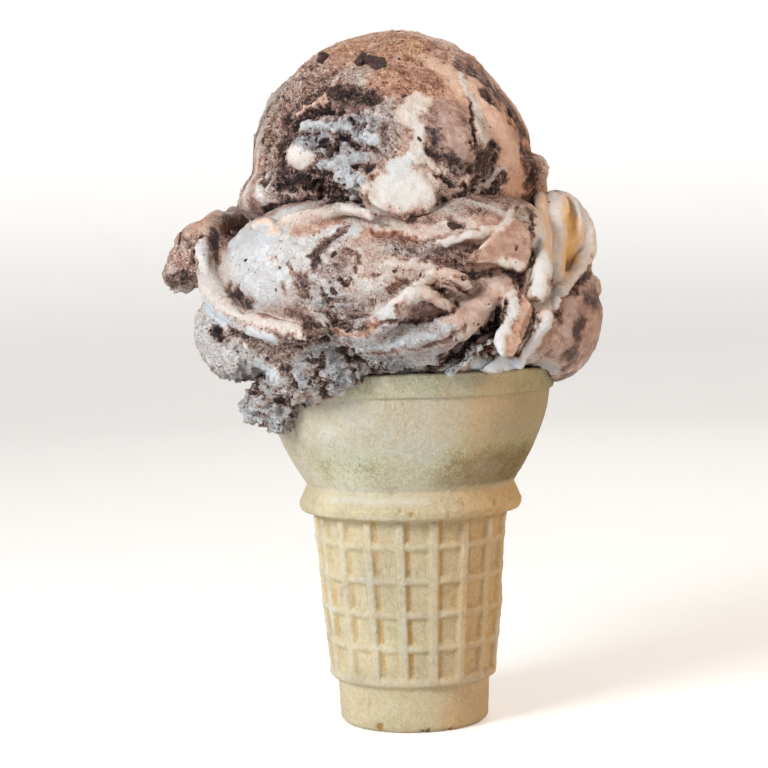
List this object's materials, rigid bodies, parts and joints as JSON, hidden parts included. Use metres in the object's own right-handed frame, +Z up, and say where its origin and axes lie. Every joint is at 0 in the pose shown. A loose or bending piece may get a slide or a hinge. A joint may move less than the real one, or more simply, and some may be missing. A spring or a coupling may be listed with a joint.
{
  "type": "ice cream cone",
  "caption": "Ribbed flat-bottomed wafer cup under rounded scoops of cookie ice cream, folded out over the rim and dripping at one side.",
  "frame": {"origin": "middle of the flat underside of the cup's foot", "axes": "+Z up the cup's axis, -Y towards the side that is shown, +X to the right of that side"},
  "size_m": [0.0924, 0.087, 0.1474],
  "materials": {
    "wafer": null,
    "lower_ice_cream": null,
    "upper_ice_cream": null
  },
  "bodies": {
    "root": {"wafer_cup": "wafer", "lower_scoop": "lower_ice_cream", "upper_scoop": "upper_ice_cream"}
  },
  "joints": []
}
